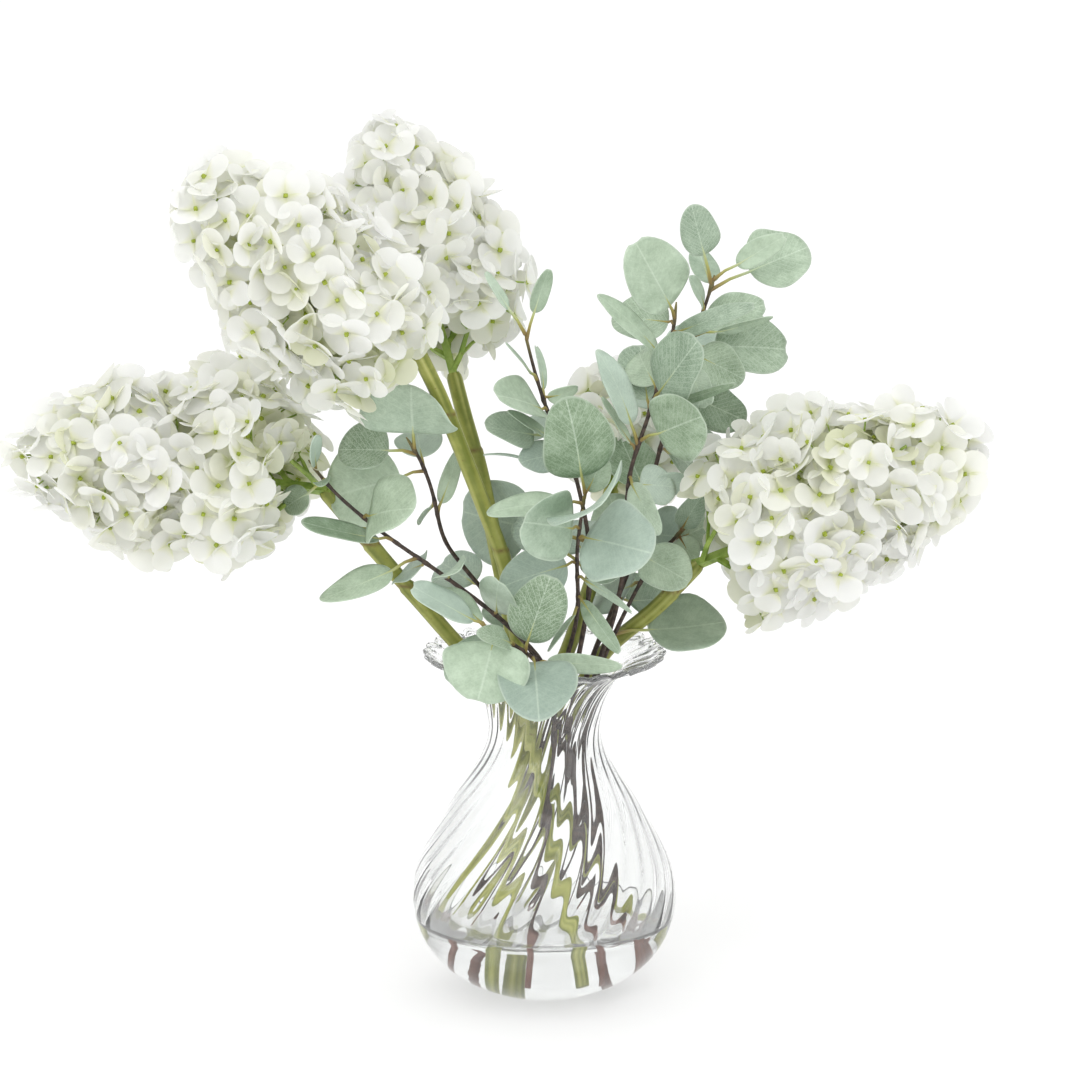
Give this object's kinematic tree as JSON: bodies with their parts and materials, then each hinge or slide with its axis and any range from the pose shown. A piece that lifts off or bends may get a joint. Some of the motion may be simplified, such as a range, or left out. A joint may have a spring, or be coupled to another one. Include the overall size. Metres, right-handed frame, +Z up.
{
  "type": "hydrangeas in a vase",
  "caption": "Free-standing bouquet of white panicle hydrangeas and grey-green eucalyptus branches in a swirled clear glass vase with a frilled lip and a little clear water.",
  "frame": {"origin": "centre of the vase's flat foot, on the surface it stands on", "axes": "+Z up along the vase's axis, +X to the right along the bouquet's widest spread, the front towards -Y"},
  "size_m": [0.555, 0.2527, 0.5064],
  "materials": {
    "vase_glass": "clear glass, swirled ribs",
    "water": "clear",
    "green_stem": "smooth olive-green stem",
    "petal": "soft matt petals, creamy green in the depth",
    "eucalyptus": "matt grey-green leaves on dark brown twigs"
  },
  "bodies": {
    "root": {"vase": "vase_glass", "clear_water": "water", "hydrangea_stem_upper_left": "green_stem", "hydrangea_stem_top": "green_stem", "hydrangea_stem_left": "green_stem", "hydrangea_stem_right": "green_stem", "hydrangea_stem_rear": "green_stem", "florets_upper_left_crown": "petal", "florets_upper_left_front": "petal", "florets_upper_left_under": "petal", "florets_upper_left_back": "petal", "florets_upper_left_tip": "petal", "florets_top_crown": "petal", "florets_top_front": "petal", "florets_top_under": "petal", "florets_top_back": "petal", "florets_top_tip": "petal", "florets_left_crown": "petal", "florets_left_front": "petal", "florets_left_under": "petal", "florets_left_back": "petal", "florets_left_tip": "petal", "florets_right_crown": "petal", "florets_right_front": "petal", "florets_right_under": "petal", "florets_right_back": "petal", "florets_right_tip": "petal", "florets_rear_crown": "petal", "florets_rear_front": "petal", "florets_rear_under": "petal", "florets_rear_back": "petal", "florets_rear_tip": "petal", "eucalyptus_tall_right": "eucalyptus", "eucalyptus_tall_rear": "eucalyptus", "eucalyptus_centre": "eucalyptus", "eucalyptus_front": "eucalyptus", "eucalyptus_left": "eucalyptus", "eucalyptus_low_left": "eucalyptus", "eucalyptus_collar": "eucalyptus", "eucalyptus_right": "eucalyptus"}
  },
  "joints": []
}
